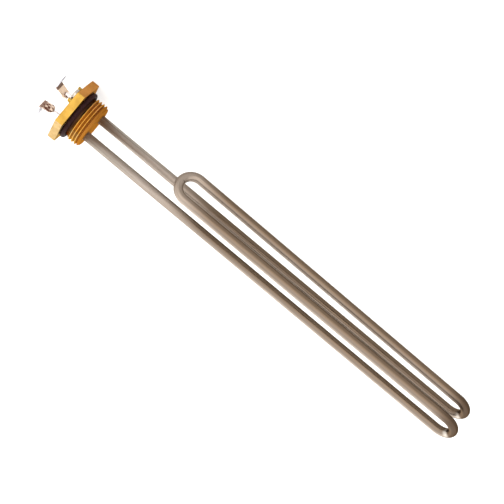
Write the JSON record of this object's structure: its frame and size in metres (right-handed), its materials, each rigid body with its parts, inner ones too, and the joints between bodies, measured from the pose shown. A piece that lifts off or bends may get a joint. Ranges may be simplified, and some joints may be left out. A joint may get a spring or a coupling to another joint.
{
  "type": "water heater element",
  "caption": "Screw-in water heater element: folded tubular heater on a threaded brass hexagon plug with a seal ring, blade terminals and an earth screw.",
  "frame": {"origin": "on the thread's axis, in the plane of the hexagon's underside where the seal ring bears", "axes": "+X along the thread into the tank, +Y from the thread's axis to the earth screw, +Z completes a right-handed frame, from terminal a to terminal b"},
  "size_m": [0.351, 0.0474, 0.041],
  "materials": {
    "plug_brass": "satin",
    "seal_rubber": "matte",
    "sheath_steel": "satin",
    "magnesia": "matte",
    "resistance_alloy": "satin",
    "pin_steel": "satin",
    "seal_resin": "gloss",
    "bead_ceramic": "satin",
    "braze_alloy": "satin",
    "terminal_plating": "satin",
    "screw_zinc": "gloss"
  },
  "bodies": {
    "root": {"brass_plug": "plug_brass", "o_ring_seal": "seal_rubber", "sheath_tube": "sheath_steel", "magnesia_fill": "magnesia", "heating_coil": "resistance_alloy", "cold_pin_a": "pin_steel", "cold_pin_b": "pin_steel", "end_seal_a": "seal_resin", "end_seal_b": "seal_resin", "ceramic_bead_a": "bead_ceramic", "ceramic_bead_b": "bead_ceramic", "braze_ring_a": "braze_alloy", "braze_ring_b": "braze_alloy", "tab_a": "terminal_plating", "tab_b": "terminal_plating", "earth_screw": "screw_zinc"}
  },
  "joints": []
}
